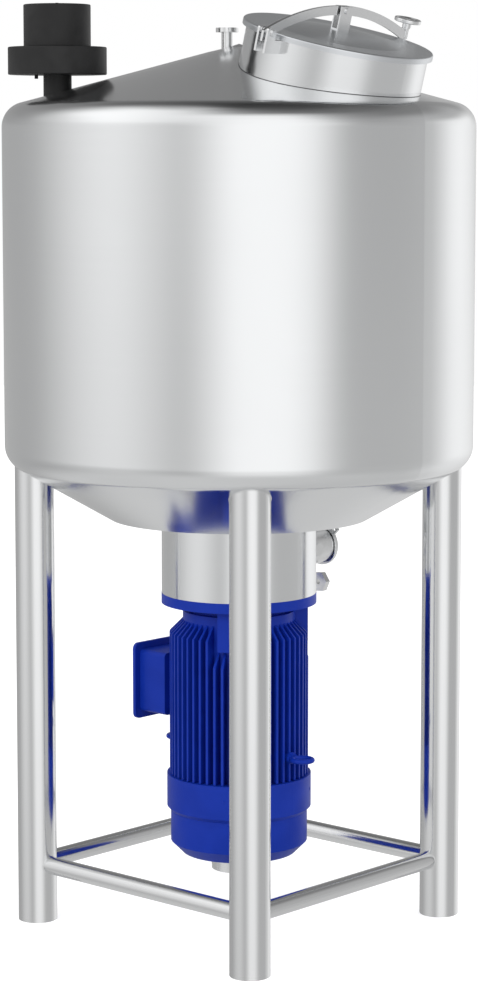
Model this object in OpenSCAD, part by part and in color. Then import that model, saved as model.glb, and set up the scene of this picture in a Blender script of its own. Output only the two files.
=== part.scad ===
// Mixing tank: a stainless vessel on four legs, stirred by a finned motor below it,
// with a hinged manway lid, a vent filter and a cleaning nozzle on its conical roof.
// Millimetres, Z up. The origin is on the tank's axis at floor level.

/* [Vessel] */
// outer diameter of the tank
tank_d = 1060; // [800:10:1400]
// height of the straight shell's lower seam above the floor
shell_base = 1100; // [950:10:1400]
// length of the straight shell between the seams
shell_h = 711; // [500:1:1100]
// sheet thickness of the vessel
wall = 4; // [3:0.5:8]
// outer radius of the rolled corners at both ends
knuckle_r = 56; // [40:1:80]
// slope of the roof cone
roof_slope = 15; // [10:1:20]
// slope of the bottom cone
bottom_slope = 30; // [20:1:35]
// diameter of the flat plate that closes the bottom cone
bottom_plate_d = 590; // [480:5:700]
// thickness of the flat bottom plate
bottom_plate_t = 8; // [5:1:15]

/* [Stand] */
// distance of each leg's axis inside the tank's outer face
leg_inset = 66; // [50:1:120]
// outer diameter of a leg tube
leg_d = 88.9; // [60:0.1:110]
// wall of a leg tube
leg_wall = 3; // [2:0.5:6]
// outer diameter of a rail tube
rail_d = 40; // [25:1:60]
// wall of a rail tube
rail_wall = 2.5; // [1.5:0.5:5]
// height of the rails' centre line
rail_z = 132; // [90:1:300]

/* [Drive] */
// outer diameter of the lantern barrel between tank and motor
lantern_d = 353; // [300:1:400]
// wall of the lantern barrel
lantern_wall = 8; // [4:1:15]
// height of the motor flange's upper face
motor_top = 758.5; // [700:0.5:900]
// diameter of the motor flange
flange_d = 354; // [300:1:400]
// thickness of the motor flange
flange_t = 23; // [12:1:30]
// diameter of the spigot in the dark gap under the flange
spigot_d = 230; // [180:1:260]
// height of the gap under the flange
gap_h = 18; // [10:1:30]
// diameter of the motor body between the fins
core_d = 257; // [220:1:290]
// diameter over the fins
fins_d = 318; // [290:1:340]
// number of cooling fins
fin_count = 54; // [30:1:60]
// turn of the first fin from the manway's side
fin_turn = 5; // [0:0.5:12]
// thickness of one fin
fin_t = 5.5; // [3:0.5:8]
// height of the fins' lower end
fins_base = 340; // [300:1:400]
// gap between the fins' lower ends and the end shield
fin_seam = 1; // [0.5:0.5:4]
// distance from the motor body's top to the fins' full height
fins_drop = 50; // [20:1:60]
// width of a foot boss
boss_w = 64; // [40:1:100]
// height of a foot boss below the flange
boss_h = 91; // [40:1:120]
// distance of a foot boss's face from the axis
boss_reach = 154.5; // [140:0.5:170]
// turn of each foot boss from the manway's side
boss_turn = 54; // [45:1:60]

/* [Fan end] */
// diameter of the end shield
shield_d = 330.6; // [300:0.2:360]
// height of the end shield
shield_h = 85; // [50:1:120]
// diameter of the fan cowl
cowl_d = 313.4; // [280:0.2:340]
// height of the fan cowl
cowl_h = 98; // [60:1:140]
// size of the cowl's lower bevel
cowl_bevel = 26; // [10:1:50]
// sheet thickness of the fan cowl
cowl_wall = 3; // [2:0.5:5]
// number of air slots in the fan cowl's base
slot_count = 36; // [20:1:48]
// width of one air slot
slot_w = 5; // [3:0.5:8]
// width of the plain rings inside and outside the air slots
slot_land = 9; // [6:1:16]
// number of fan blades
blade_count = 7; // [5:1:11]
// free space round the fan
fan_clear = 10; // [5:1:20]
// diameter of the stub under the fan cowl
stub_d = 125; // [80:1:160]
// length of the stub under the fan cowl
stub_h = 42; // [20:1:60]

/* [Terminal box and eyebolts] */
// distance of the cover's outer face from the axis
box_reach = 247; // [220:1:280]
// width of the terminal box
box_w = 158; // [120:1:180]
// height of the terminal box
box_h = 146; // [110:1:180]
// height of the terminal box's centre
box_z = 532; // [480:1:580]
// thickness of the terminal box cover
cover_t = 8; // [5:1:14]
// overhang of the cover round the box
cover_lip = 16; // [8:1:24]
// height of the eyebolts
eye_z = 395; // [370:1:430]
// inner diameter of an eyebolt's ring
eye_bore = 34; // [25:1:45]
// thickness of an eyebolt's ring
eye_rod = 11; // [8:1:15]

/* [Vent filter] */
// distance of the filter's axis inside the tank's outer face
vent_inset = 125; // [100:1:170]
// diameter of the filter's stem
vent_stem_d = 63; // [45:1:80]
// diameter of the filter's pan
vent_pan_d = 220; // [180:1:260]
// free length of the stem between roof and pan
vent_stem_h = 39.5; // [25:0.5:90]
// height of the filter's pan
vent_pan_h = 61; // [40:1:80]
// diameter of the filter's cap
vent_cap_d = 149.5; // [120:0.5:180]
// height of the filter's cap
vent_cap_h = 93.5; // [60:0.5:120]
// rounding of the cap's and the pan's edges
vent_round = 2.5; // [1:0.5:5]
// diameter of the knob on the cap and of the drain under the pan
vent_nub_d = 8; // [5:0.5:14]
// length of the drain under the pan
vent_drain_h = 9; // [5:0.5:16]
// distance of the drain from the filter's axis
vent_drain_r = 47; // [38:1:90]

/* [Cleaning nozzle] */
// distance of the nozzle from the tank's axis
nozzle_r = 36; // [30:1:60]
// outer diameter of the nozzle's tube
nozzle_d = 25.4; // [20:0.1:40]
// bore of the nozzle's tube
nozzle_bore = 22.1; // [16:0.1:36]
// diameter of the clamp ferrule and its cap
ferrule_d = 50.5; // [45:0.5:64]
// thickness of the ferrule's rim
ferrule_t = 4.8; // [3:0.1:8]
// height of the ferrule's face above the roof
nozzle_h = 41; // [30:0.5:80]

/* [Manway] */
// distance of the manway's centre on the roof inside the tank's outer face
manway_inset = 262; // [240:1:300]
// outer diameter of the manway neck
neck_d = 400; // [340:2:420]
// height of the neck above the roof, along its own axis
neck_h = 78; // [60:1:110]
// diameter over the lid's rolled rim
lid_d = 419; // [410:1:460]
// depth of the lid's rolled rim
lid_rim_h = 13; // [8:1:20]
// sheet thickness of the lid
lid_t = 3; // [2:0.5:5]
// thickness of the lid's gasket
gasket_t = 6; // [4:0.5:10]
// diameter of the lid's dome
dome_d = 290; // [200:2:340]
// rise of the lid's dome
dome_h = 12; // [5:1:40]

/* [Lid arm] */
// distance of the hinge pin from the manway's axis
hinge_r = 231; // [226:1:250]
// height of the hinge pin above the roof
hinge_z = 88; // [84:1:100]
// diameter of the hinge pin
hinge_pin_d = 10; // [6:0.5:14]
// radial play of the arm on its pin
pin_play = 0.05; // [0.02:0.01:0.1]
// radius of the arm's upper edge
arm_r = 532; // [420:2:700]
// height of the arm's crown above the roof
arm_crown = 151; // [140:1:170]
// depth of the arm
arm_depth = 20; // [14:1:30]
// thickness of the arm
arm_t = 6; // [4:0.5:10]
// gap between the hinge ears
ear_gap = 20; // [14:1:26]
// thickness of a hinge ear
ear_t = 5.5; // [4:0.5:8]
// reach of an ear beyond the hinge pin
ear_out = 16; // [13:1:20]
// radius of an ear's top round the hinge pin
ear_round = 10; // [8:1:12]
// height of the ears' foot above the roof
ear_foot = 44; // [30:1:50]
// height of the web between the ears
web_h = 14; // [8:1:18]
// width of the lid bracket's plates
bracket_w = 38; // [30:1:60]
// thickness of a lid bracket plate
bracket_t = 3; // [2.5:0.1:6]
// gap between the lid bracket's plates
bracket_gap = 14; // [10:1:20]

/* [Clamp] */
// distance of the clamp bolt from the manway's axis
clamp_r = 226; // [224:1:245]
// diameter of the clamp bolt
bolt_d = 9; // [7:0.5:12]
// height of the bolt's cross pin above the roof
foot_z = 45; // [40:1:55]
// diameter of the bolt's cross pin
cross_d = 8; // [6:0.5:10]
// free space round the cross pin in its cradle
cradle_play = 2.5; // [2:0.5:4]
// height of the arm's end block
block_h = 24; // [18:1:30]
// width of the arm's end block along the arm
block_w = 21; // [19:1:30]
// reach of the arm's end block to one side
block_t = 10; // [9:0.5:16]
// thickness of the loose washer
washer_t = 2.5; // [1.5:0.5:4]
// diameter of the hand knob
knob_d = 60; // [45:1:75]
// thickness of the hand knob's disc
knob_t = 9; // [7:1:14]
// height of the hand knob's hub
hub_h = 11; // [7:1:14]
// depth of the dish in the hand knob's top
dish_h = 2; // [1:0.5:4]

/* [Outlet and stirrer] */
// distance of the outlet's riser from the tank's axis
outlet_r = 224; // [210:1:250]
// outer diameter of the outlet's riser
outlet_d = 50.8; // [38:0.1:64]
// wall of the outlet's riser
outlet_wall = 1.6; // [1.2:0.1:4]
// drop of the valve's axis below the bottom plate
outlet_drop = 97; // [75:1:120]
// diameter of the outlet valve's body
valve_d = 84; // [70:1:110]
// length of the valve's body in front of the riser
valve_front = 59; // [50:1:100]
// length of the valve's body behind the riser
valve_back = 30; // [27:1:45]
// diameter of the plugged port on the valve's side
port_d = 31; // [20:1:40]
// reach of the plugged port beyond the valve's body
port_reach = 8; // [4:1:20]
// diameter of the clamp band at the valve's mouth
band_d = 94; // [80:1:115]
// width of the clamp band
band_w = 9; // [5:1:16]
// width over the flats' corners of the handle's grip
grip_d = 50; // [36:1:60]
// diameter of the hole in the handle's grip
grip_bore = 12; // [6:1:24]
// thickness of the handle
handle_t = 14; // [6:1:24]
// distance of the handle from the riser along the valve
handle_at = 45; // [30:1:60]
// drop of the handle's grip below the valve's axis
handle_drop = 86; // [70:1:120]
// swing of the handle about the valve's axis
handle_turn = 5; // [0:1:30]
// diameter of the stirrer's shaft
shaft_d = 38; // [25:1:50]
// diameter over the stirrer's blades
stirrer_d = 260; // [180:5:400]

/* [Hidden] */
$fn = 96;
tank_r = tank_d / 2;
shell_top = shell_base + shell_h;
corner_r = tank_r - knuckle_r;
plate_r = bottom_plate_d / 2;
leg_xy = (tank_r - leg_inset) / sqrt(2);
arc_steps = 10;
knuckle_steps = 24;

// heights on the outer faces of the cones
roof_tan_r = corner_r + knuckle_r * sin(roof_slope);
roof_tan_z = shell_top + knuckle_r * cos(roof_slope);
roof_depth = 60;
function roof_z(r) = roof_tan_z + (roof_tan_r - r) * tan(roof_slope);
bottom_tan_r = corner_r + knuckle_r * sin(bottom_slope);
bottom_tan_z = shell_base - knuckle_r * cos(bottom_slope);
function bottom_z(r) = bottom_tan_z - (bottom_tan_r - r) * tan(bottom_slope);
plate_z = bottom_z(plate_r);

body_top = motor_top - flange_t - gap_h;
shield_top = fins_base;
cowl_top = shield_top - shield_h;
cowl_base = cowl_top - cowl_h;
fins_r = fins_d / 2;
core_r = core_d / 2;
fins_root = core_r - 5;
roof_reach = roof_z(0) - shell_top;
fins_top = body_top - fins_drop + fins_r - core_r;
boss_base = motor_top - flange_t - boss_h;

vent_r = tank_r - vent_inset;
vent_pan_z = roof_z(vent_r) + vent_stem_h;
ferrule_z = roof_z(nozzle_r) + nozzle_h;
manway_r = tank_r - manway_inset;

neck_r = neck_d / 2;
lid_r = lid_d / 2;
lid_seat = neck_h + gasket_t;
lid_top = lid_seat + lid_t;
arm_centre_z = arm_crown - arm_r;
block_in = clamp_r - block_w / 2;
block_top = arm_centre_z + sqrt(arm_r * arm_r - block_in * block_in) + 3;
block_base = block_top - block_h;
knob_seat = block_top + washer_t;
knob_top = knob_seat + hub_h + knob_t;
bolt_top = knob_top - dish_h - 0.5;
plate_gap = bracket_gap / 2;
dome_r = (dome_d * dome_d / 4 + dome_h * dome_h) / (2 * dome_h);
dome_half = asin(dome_d / 2 / dome_r);

steel = [0.72, 0.73, 0.74];
bright = [0.80, 0.81, 0.82];
blue = [0.05, 0.13, 0.55];
black = [0.07, 0.07, 0.07];
rubber = [0.85, 0.85, 0.83];

// points of an arc in a revolve's half plane
function arc(cx, cz, r, from, to, steps = arc_steps) =
    [for (i = [0 : steps]) let (a = from + (to - from) * i / steps) [cx + r * cos(a), cz + r * sin(a)]];

module ring(d, bore, h) {
    difference() {
        cylinder(d = d, h = h);
        translate([0, 0, -1]) cylinder(d = bore, h = h + 2);
    }
}

// the manway's own frame: Z out of the roof, X down the slope
module on_manway() {
    translate([manway_r, 0, roof_z(manway_r)]) rotate([0, roof_slope, 0]) children();
}

// a flat profile drawn across the manway in Y and Z, made thick along X
module across(x0, x1) {
    translate([x0, 0, 0]) rotate([90, 0, 90]) linear_extrude(height = x1 - x0) children();
}

// the shell with both its edges rolled in to meet the cones
module tank_shell() {
    roof_turn = 90 - roof_slope;
    bottom_turn = 90 - bottom_slope;
    color(steel) rotate_extrude() polygon(concat(
        arc(corner_r, shell_base, knuckle_r, -bottom_turn, 0, knuckle_steps),
        arc(corner_r, shell_top, knuckle_r, 0, roof_turn, knuckle_steps),
        arc(corner_r, shell_top, knuckle_r - wall, roof_turn, 0, knuckle_steps),
        arc(corner_r, shell_base, knuckle_r - wall, 0, -bottom_turn, knuckle_steps)));
}

// a cone plate, from the rolled edge of the shell in to this radius
module cone_profile(slope, inner_r) {
    outer_r = corner_r + knuckle_r * sin(slope);
    outer_z = knuckle_r * cos(slope);
    under_r = corner_r + (knuckle_r - wall) * sin(slope);
    under_z = (knuckle_r - wall) * cos(slope);
    top_z = outer_z + (outer_r - inner_r) * tan(slope);
    polygon([[outer_r, outer_z], [inner_r, top_z], [inner_r, top_z - wall / cos(slope)], [under_r, under_z]]);
}

module roof_body() {
    translate([0, 0, shell_top]) rotate_extrude() cone_profile(roof_slope, 0);
}

// everything below the roof's outer face, to trim what stands on it
module under_roof() {
    translate([0, 0, shell_top])
        rotate_extrude() polygon([[0, 0], [corner_r, 0], [roof_tan_r, roof_tan_z - shell_top],
            [0, roof_z(0) - shell_top]]);
}

module roof_cone() {
    color(steel) difference() {
        roof_body();
        on_manway() translate([0, 0, -roof_depth]) cylinder(r = neck_r - wall, h = 2 * roof_depth);
        vent_place() translate([0, 0, shell_top]) cylinder(d = vent_stem_d - 2 * wall, h = roof_reach);
        translate([-nozzle_r, 0, shell_top]) cylinder(d = nozzle_bore, h = roof_reach);
    }
}

module bottom_cone() {
    color(steel) translate([0, 0, shell_base]) mirror([0, 0, 1])
        rotate_extrude() cone_profile(bottom_slope, plate_r);
}

module bottom_plate() {
    color(steel) difference() {
        translate([0, 0, plate_z]) cylinder(r = plate_r, h = bottom_plate_t);
        translate([0, 0, plate_z - 1]) cylinder(d = shaft_d + 2 * wall, h = bottom_plate_t + 2);
        translate([0, outlet_r, plate_z - 1])
            cylinder(d = outlet_d - 2 * outlet_wall, h = bottom_plate_t + 2);
    }
}

// everything above the outer face of the vessel's bottom
module over_bottom() {
    translate([0, 0, shell_base]) mirror([0, 0, 1])
        rotate_extrude() polygon(concat([[0, 0]], arc(corner_r, 0, knuckle_r, 0, 90 - bottom_slope, knuckle_steps),
            [[plate_r, shell_base - plate_z], [0, shell_base - plate_z]]));
}

module leg(sx, sy) {
    color(bright) translate([sx * leg_xy, sy * leg_xy, 0]) difference() {
        cylinder(d = leg_d, h = shell_base);
        translate([0, 0, leg_wall]) cylinder(d = leg_d - 2 * leg_wall, h = shell_base);
        translate([-sx * leg_xy, -sy * leg_xy, 0]) over_bottom();
    }
}

module leg_front_left() { leg(-1, -1); }
module leg_front_right() { leg(1, -1); }
module leg_back_left() { leg(-1, 1); }
module leg_back_right() { leg(1, 1); }

module rail(turn) {
    color(bright) rotate([0, 0, turn]) difference() {
        translate([-leg_xy, -leg_xy, rail_z]) rotate([0, 90, 0]) ring(rail_d, rail_d - 2 * rail_wall, 2 * leg_xy);
        for (s = [-1, 1])
            translate([s * leg_xy, -leg_xy, rail_z - rail_d]) cylinder(d = leg_d, h = 2 * rail_d);
    }
}

module rail_front() { rail(0); }
module rail_right() { rail(90); }
module rail_back() { rail(180); }
module rail_left() { rail(270); }

module lantern_barrel() {
    color(steel) translate([0, 0, motor_top])
        ring(lantern_d, lantern_d - 2 * lantern_wall, plate_z - motor_top);
}

module motor_flange() {
    color(blue) translate([0, 0, motor_top - flange_t]) cylinder(d = flange_d, h = flange_t);
}

// one fin, whose sloping upper end meets the body at this height
module fin(top) {
    rotate([90, 0, 0]) translate([0, 0, -fin_t / 2]) linear_extrude(height = fin_t)
        polygon([[fins_root, fins_base + fin_seam], [fins_r, fins_base + fin_seam],
            [fins_r, top - fins_r + core_r], [fins_root, top + core_r - fins_root]]);
}

module foot_boss(turn) {
    rotate([0, 0, turn]) translate([spigot_d / 2 - wall, -boss_w / 2, boss_base])
        cube([boss_reach - spigot_d / 2 + wall, boss_w, boss_h]);
}

// angle between a fin and the nearer foot boss
function off_boss(turn) = min([for (b = [-boss_turn, boss_turn]) abs((turn - b + 540) % 360 - 180)]);

module motor_frame() {
    under_boss = asin((boss_w + fin_t) / 2 / core_r);
    box_tie = fins_r - core_r + 12;
    color(blue) union() {
        translate([0, 0, fins_base]) cylinder(d = core_d, h = body_top - fins_base);
        translate([0, 0, body_top - 1]) cylinder(d = spigot_d, h = gap_h + 1);
        for (i = [0 : fin_count - 1]) let (turn = i * 360 / fin_count + fin_turn)
            rotate([0, 0, turn]) fin(off_boss(turn) < under_boss ? boss_base - fin_t : fins_top);
        for (turn = [-boss_turn, boss_turn]) foot_boss(turn);
        translate([-fins_r - 1, -box_w / 2 + cover_lip, box_z - box_h / 2 + cover_lip])
            cube([box_tie, box_w - 2 * cover_lip, box_h - 2 * cover_lip]);
        for (s = [-1, 1])
            translate([s * (core_r - 3), 0, eye_z]) rotate([0, s * 90, 0])
                cylinder(d = 2.4 * eye_rod, h = fins_r - core_r + 8);
    }
}

module end_shield() {
    color(blue) translate([0, 0, cowl_top]) union() {
        cylinder(d1 = cowl_d, d2 = shield_d, h = 9);
        translate([0, 0, 9]) cylinder(d = shield_d, h = shield_h - 9);
    }
}

module fan_cowl() {
    outer = cowl_d / 2;
    base_r = outer - cowl_bevel;
    bevel_in = cowl_wall * tan(22.5);
    slot_in = stub_d / 2 + slot_land;
    slot_out = base_r - slot_land;
    color(blue) translate([0, 0, cowl_base]) difference() {
        rotate_extrude() polygon([[0, 0], [base_r, 0], [outer, cowl_bevel], [outer, cowl_h],
            [outer - cowl_wall, cowl_h], [outer - cowl_wall, cowl_bevel + bevel_in],
            [base_r - bevel_in, cowl_wall], [0, cowl_wall]]);
        for (i = [0 : slot_count - 1])
            rotate([0, 0, i * 360 / slot_count]) translate([slot_in, -slot_w / 2, -1])
                cube([slot_out - slot_in, slot_w, cowl_wall + 2]);
    }
}

module fan() {
    blade_r = cowl_d / 2 - cowl_wall - cowl_bevel;
    fan_h = cowl_h - cowl_wall - 2 * fan_clear;
    half = cowl_wall / 2;
    color(blue) translate([0, 0, cowl_top]) mirror([0, 0, 1]) union() {
        cylinder(d = shaft_d, h = fan_clear + fan_h / 2);
        translate([0, 0, fan_clear]) cylinder(d = 2.5 * shaft_d, h = fan_h);
        translate([0, 0, fan_clear]) cylinder(r = blade_r, h = cowl_wall);
        for (i = [0 : blade_count - 1])
            rotate([0, 0, i * 360 / blade_count]) translate([shaft_d, -half, fan_clear + half])
                cube([blade_r - shaft_d - cowl_wall, cowl_wall, fan_h - cowl_wall]);
    }
}

module cowl_stub() {
    color(steel) translate([0, 0, cowl_base - stub_h]) cylinder(d = stub_d, h = stub_h);
}

module rounded_block(x0, x1, w, h, r) {
    translate([x0, 0, 0]) rotate([90, 0, 90]) linear_extrude(height = x1 - x0) hull()
        for (y = [-1, 1], z = [-1, 1]) translate([y * (w / 2 - r), z * (h / 2 - r)]) circle(r = r, $fn = 24);
}

module terminal_box() {
    color(blue) translate([0, 0, box_z])
        rounded_block(-box_reach + cover_t, -fins_r - 1, box_w, box_h, 10);
}

module terminal_cover() {
    color(blue) translate([0, 0, box_z])
        rounded_block(-box_reach, -box_reach + cover_t, box_w + 2 * cover_lip, box_h + 2 * cover_lip, 14);
}

module eyebolt(side) {
    ring_r = (eye_bore + eye_rod) / 2;
    seat = fins_r + 5;
    color(blue) translate([0, 0, eye_z]) mirror([side < 0 ? 1 : 0, 0, 0]) union() {
        translate([seat, 0, 0]) rotate([0, 90, 0]) cylinder(d = 2 * eye_rod, h = 4);
        translate([seat + 3, 0, 0]) rotate([0, 90, 0]) cylinder(d = eye_rod, h = eye_rod / 2);
        translate([seat + 6 + eye_rod / 2 + eye_bore / 2, 0, 0])
            rotate_extrude() translate([ring_r, 0]) circle(d = eye_rod, $fn = 32);
    }
}

module eyebolt_left() { eyebolt(-1); }
module eyebolt_right() { eyebolt(1); }

module vent_place() {
    rotate([0, 0, 225]) translate([vent_r, 0, 0]) children();
}

module vent_stem() {
    color(black) difference() {
        vent_place() translate([0, 0, shell_top]) ring(vent_stem_d, vent_stem_d - 2 * wall, vent_pan_z - shell_top);
        under_roof();
    }
}

// a round solid with eased edges at both ends
module eased(d, h, r) {
    rotate_extrude()
        polygon(concat([[0, 0]], arc(d / 2 - r, r, r, -90, 0), arc(d / 2 - r, h - r, r, 0, 90), [[0, h]]));
}

module vent_pan() {
    color(black) vent_place() translate([0, 0, vent_pan_z]) difference() {
        union() {
            eased(vent_pan_d, vent_pan_h, vent_round);
            translate([vent_drain_r, 0, -vent_drain_h]) cylinder(d = vent_nub_d, h = vent_drain_h + 1);
        }
        translate([0, 0, -1]) cylinder(d = vent_stem_d - 2 * wall, h = vent_pan_h + 2);
    }
}

module vent_cap() {
    color(black) vent_place() translate([0, 0, vent_pan_z + vent_pan_h]) difference() {
        union() {
            eased(vent_cap_d, vent_cap_h, vent_round);
            translate([0, 0, vent_cap_h - 1]) eased(vent_nub_d, vent_nub_d / 2 + 1, vent_round / 2);
        }
        translate([0, 0, -1]) cylinder(d = vent_cap_d - 2 * wall, h = vent_cap_h - wall + 1);
    }
}

module cleaning_nozzle() {
    color(bright) difference() {
        union() {
            translate([-nozzle_r, 0, shell_top]) cylinder(d = nozzle_d, h = ferrule_z - shell_top);
            translate([-nozzle_r, 0, ferrule_z - ferrule_t]) cylinder(d = ferrule_d, h = ferrule_t);
        }
        translate([-nozzle_r, 0, shell_top - 1]) cylinder(d = nozzle_bore, h = ferrule_z - shell_top + 2);
        under_roof();
    }
}

module nozzle_cap() {
    color(bright) translate([-nozzle_r, 0, ferrule_z]) cylinder(d = ferrule_d, h = ferrule_t);
}

module manway_neck() {
    color(steel) difference() {
        on_manway() translate([0, 0, -roof_depth]) ring(neck_d, neck_d - 2 * wall, neck_h + roof_depth);
        under_roof();
    }
}

module lid_gasket() {
    color(rubber) on_manway() translate([0, 0, neck_h]) ring(neck_d, neck_d - 24, gasket_t);
}

// the dome's curve from its crown to its edge, for a crown at this height
function dome_curve(crown) = concat([[0, crown]],
    arc(0, crown - dome_r, dome_r, 90 - dome_half / arc_steps, 90 - dome_half));

module manway_lid() {
    edge = [for (p = dome_curve(lid_seat + dome_h)) p];
    face = dome_curve(lid_top + dome_h);
    lip_r = lid_t + 1;
    color(steel) on_manway() rotate_extrude() polygon(concat(edge,
        [[lid_r - lid_t, lid_seat], [lid_r - lid_t, lid_top - lid_rim_h], [lid_r, lid_top - lid_rim_h]],
        arc(lid_r - lip_r, lid_top - lip_r, lip_r, 0, 90),
        [for (i = [len(face) - 1 : -1 : 0]) face[i]]));
}

// everything below the lid's upper face, to trim what stands on it
module under_lid() {
    rotate_extrude() polygon(concat(dome_curve(lid_top + dome_h), [[lid_r, lid_top], [lid_r, 0], [0, 0]]));
}

module lid_bracket() {
    half = plate_gap + bracket_t;
    color(bright) on_manway() difference() {
        across(-half, half) translate([-bracket_w / 2, lid_top])
            square([bracket_w, arm_crown - lid_top - 1]);
        across(-plate_gap, plate_gap) translate([-bracket_w, lid_top + dome_h + bracket_t])
            square([2 * bracket_w, arm_crown]);
        under_lid();
        across(-half - 1, half + 1) translate([0, arm_crown - arm_depth / 2]) circle(d = hinge_pin_d);
    }
}

module bracket_pin() {
    half = plate_gap + bracket_t;
    color(bright) on_manway() union() {
        across(-half - 1, half + 1) translate([0, arm_crown - arm_depth / 2]) circle(d = hinge_pin_d);
        for (s = [-1, 1])
            across(s < 0 ? -half - 3 : half, s < 0 ? -half : half + 3)
                translate([0, arm_crown - arm_depth / 2]) circle(d = 1.3 * hinge_pin_d);
        for (s = [-1, 1])
            across(s < 0 ? -plate_gap : arm_t / 2, s < 0 ? -arm_t / 2 : plate_gap)
                translate([0, arm_crown - arm_depth / 2]) circle(d = 1.5 * hinge_pin_d);
    }
}

module lid_arm() {
    arm_end = clamp_r - bolt_d / 2 - 0.5;
    color(bright) on_manway() difference() {
        union() {
            across(-arm_t / 2, arm_t / 2) intersection() {
                translate([0, arm_centre_z]) difference() {
                    circle(r = arm_r, $fn = 180);
                    circle(r = arm_r - arm_depth, $fn = 180);
                }
                translate([-hinge_r - ear_out, 0]) square([hinge_r + ear_out + arm_end, arm_crown + 1]);
            }
            across(-ear_gap / 2 + 1, ear_gap / 2 - 1)
                translate([-hinge_r, hinge_z]) circle(d = 1.6 * hinge_pin_d);
            translate([-block_t, block_in, block_base]) cube([block_t, block_w, block_h]);
        }
        across(-ear_gap, ear_gap) translate([-hinge_r, hinge_z]) circle(d = hinge_pin_d + 2 * pin_play);
        across(-ear_gap, ear_gap) translate([0, arm_crown - arm_depth / 2]) circle(d = hinge_pin_d);
        translate([0, clamp_r, block_base - 1]) cylinder(d = bolt_d, h = block_h + 2);
    }
}

// one hinge ear, seen along the pin, from the neck's wall to its top round the pin
module ear_outline() {
    out = -hinge_r - ear_out;
    shoulder = lid_top - lid_rim_h - 2;
    polygon(concat([[out, ear_foot]],
        arc(out + ear_round / 2, hinge_z + ear_round / 2, ear_round / 2, 180, 90),
        arc(-hinge_r, hinge_z, ear_round, 90, 0),
        [[-hinge_r + ear_round, shoulder], [-neck_r + 2 * wall, shoulder], [-neck_r + 2 * wall, ear_foot]]));
}

module hinge_bracket() {
    color(bright) on_manway() difference() {
        union() {
            for (s = [-1, 1])
                across(s < 0 ? -ear_gap / 2 - ear_t : ear_gap / 2, s < 0 ? -ear_gap / 2 : ear_gap / 2 + ear_t)
                    ear_outline();
            across(-ear_gap / 2 - 1, ear_gap / 2 + 1) translate([-neck_r - ear_t, ear_foot])
                square([ear_t + 2 * wall, web_h]);
        }
        cylinder(r = neck_r, h = neck_h);
        across(-2 * ear_gap, 2 * ear_gap) translate([-hinge_r, hinge_z]) circle(d = hinge_pin_d);
    }
}

module hinge_pin() {
    reach = ear_gap / 2 + ear_t;
    color(bright) on_manway() union() {
        across(-reach - 2, reach + 2) translate([-hinge_r, hinge_z]) circle(d = hinge_pin_d);
        for (s = [-1, 1])
            across(s < 0 ? -reach - 4 : reach, s < 0 ? -reach : reach + 4)
                translate([-hinge_r, hinge_z]) circle(d = 1.5 * hinge_pin_d);
    }
}

module clamp_cradle() {
    inner = bolt_d + 3;
    slot = cross_d + 2 * cradle_play;
    color(bright) on_manway() difference() {
        for (s = [-1, 1])
            across(s < 0 ? -inner - 5 : inner, s < 0 ? -inner : inner + 5)
                translate([neck_r - 8, foot_z - 22]) square([clamp_r - neck_r + 22, 32]);
        cylinder(r = neck_r, h = neck_h);
        across(-30, 30) translate([clamp_r, foot_z]) circle(d = slot);
        across(-30, 30) translate([clamp_r - slot / 2, foot_z]) square([slot, 20]);
    }
}

module clamp_bolt() {
    color(bright) on_manway() union() {
        translate([0, clamp_r, foot_z]) cylinder(d = bolt_d, h = bolt_top - foot_z);
        across(-bolt_d + 2, bolt_d - 2) translate([clamp_r, foot_z]) circle(d = 2 * bolt_d);
        across(-bolt_d - 8, bolt_d + 8) translate([clamp_r, foot_z]) circle(d = cross_d);
    }
}

module clamp_washer() {
    color(bright) on_manway() translate([0, clamp_r, block_top])
        ring(2 * bolt_d, bolt_d + 2 * pin_play, washer_t);
}

module hand_knob() {
    edge_r = knob_t / 4;
    dish_r = knob_d / 2 - 2 * edge_r;
    color(bright) on_manway() translate([0, clamp_r, knob_seat]) difference() {
        union() {
            cylinder(d = 2.2 * bolt_d, h = hub_h + 1);
            translate([0, 0, hub_h]) eased(knob_d, knob_t, edge_r);
        }
        translate([0, 0, hub_h + knob_t - dish_h]) cylinder(r1 = dish_r - dish_h, r2 = dish_r + 1, h = dish_h + 1);
        translate([0, 0, -1]) cylinder(d = bolt_d + 2 * pin_play, h = hub_h + knob_t + 2);
    }
}

module outlet_pipe() {
    color(bright) difference() {
        translate([0, outlet_r, plate_z - outlet_drop]) ring(outlet_d, outlet_d - 2 * outlet_wall, outlet_drop);
        on_outlet() translate([0, 0, -valve_back]) cylinder(d = valve_d, h = valve_back + valve_front);
    }
}

// the valve's own frame: Z along the valve, Y down, from the riser's axis
module on_outlet() {
    translate([0, outlet_r, plate_z - outlet_drop]) rotate([-90, 0, 0]) children();
}

module outlet_valve() {
    bore = outlet_d - 2 * outlet_wall;
    lug = 2 * band_w;
    lug_inset = band_w / 8;
    groove = band_w / 3;
    length = valve_front + groove + band_w;
    color(bright) on_outlet() difference() {
        union() {
            translate([0, 0, -valve_back]) cylinder(d = valve_d, h = valve_back + valve_front);
            cylinder(d = valve_d - band_w, h = length);
            translate([0, 0, length - band_w]) cylinder(d = band_d, h = band_w);
            rotate([0, 90, 0]) cylinder(d = port_d, h = valve_d / 2 + port_reach);
            rotate([0, 0, -45]) translate([band_d / 2 - band_w, -lug / 2, length - band_w + lug_inset])
                cube([lug + band_w, lug, band_w - 2 * lug_inset]);
        }
        translate([0, 0, -bore / 4]) cylinder(d = bore - 2 * outlet_wall, h = length + bore);
        rotate([90, 0, 0]) translate([0, 0, -bore / 3]) cylinder(d = bore, h = valve_d);
        rotate([0, 0, -45]) translate([band_d / 2 + lug / 2, 0, 0]) cylinder(d = lug / 2, h = 2 * length);
    }
}

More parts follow.
